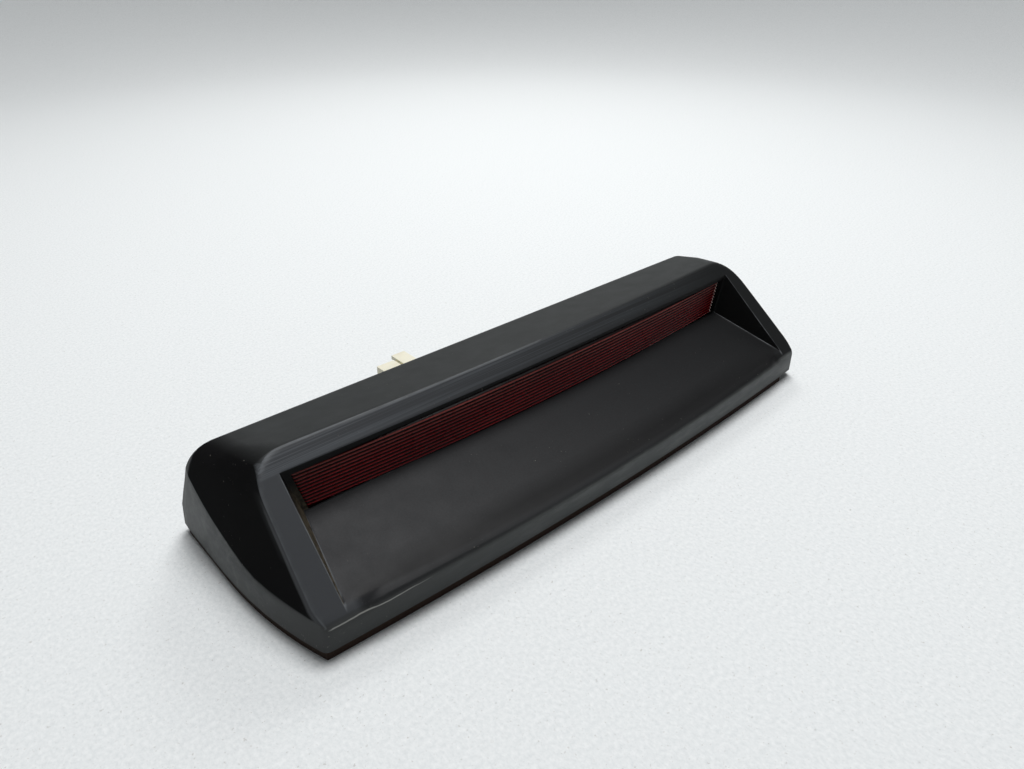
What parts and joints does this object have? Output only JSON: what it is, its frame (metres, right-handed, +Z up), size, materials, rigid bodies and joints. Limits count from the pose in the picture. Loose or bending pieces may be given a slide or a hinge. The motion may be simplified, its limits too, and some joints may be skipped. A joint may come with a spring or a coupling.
{
  "type": "third brake light",
  "caption": "Long hooded third brake light for a parcel shelf, with a recessed ribbed red lens, wedge bulbs on a clip-in carrier and a rear harness socket.",
  "frame": {"origin": "middle of the foam pad's underside, on the surface that the lamp stands on", "axes": "+X along the lamp to its right-hand end as seen from the lens side, -Y the way the lens faces, +Y the way the harness socket points, +Z up"},
  "size_m": [0.266, 0.0983, 0.0477],
  "materials": {
    "hood_plastic": "fine moulded grain, black, slightly scuffed",
    "lens_red": "clear red acrylic, ribbed",
    "seal_butyl": "pale butyl bead",
    "body_plastic": "plain black moulding",
    "reflector_plate": "vacuum-plated",
    "screw_steel": "zinc-plated",
    "gasket_foam": "closed-cell foam",
    "carrier_nylon": "cream nylon, satin",
    "brass": "stamped strip",
    "bulb_glass": "clear glass",
    "filament_wire": "wire",
    "base_plastic": "plain black moulding",
    "pad_foam": "dark brown foam"
  },
  "bodies": {
    "housing": {"hood": "hood_plastic", "lens": "lens_red", "lens_seal": "seal_butyl", "lamp_body": "body_plastic", "reflector": "reflector_plate", "lamp_screws": "screw_steel", "carrier_gasket": "gasket_foam", "bulb_carrier": "carrier_nylon", "busbar_live": "brass", "busbar_ground": "brass", "bulb_1": "bulb_glass", "bulb_2": "bulb_glass", "bulb_3": "bulb_glass", "bulb_4": "bulb_glass", "filament_1": "filament_wire", "filament_2": "filament_wire", "filament_3": "filament_wire", "filament_4": "filament_wire", "base_plate": "base_plastic", "base_pad": "pad_foam", "base_screws": "screw_steel", "insert_left": "brass", "insert_right": "brass"},
    "left_latch": {"latch_left": "carrier_nylon"},
    "right_latch": {"latch_right": "carrier_nylon"}
  },
  "joints": [
    {"name": "latch_left_flex", "type": "hinge", "parent": "housing", "child": "left_latch", "pos_m": [-0.054, 0.0282, 0.0207], "axis": [1, 0, 0], "range_deg": [0, 10], "stiffness_Nm_per_rad": 0.3},
    {"name": "latch_right_flex", "type": "hinge", "parent": "housing", "child": "right_latch", "pos_m": [0.054, 0.0282, 0.0207], "axis": [1, 0, 0], "range_deg": [0, 10], "stiffness_Nm_per_rad": 0.3}
  ]
}
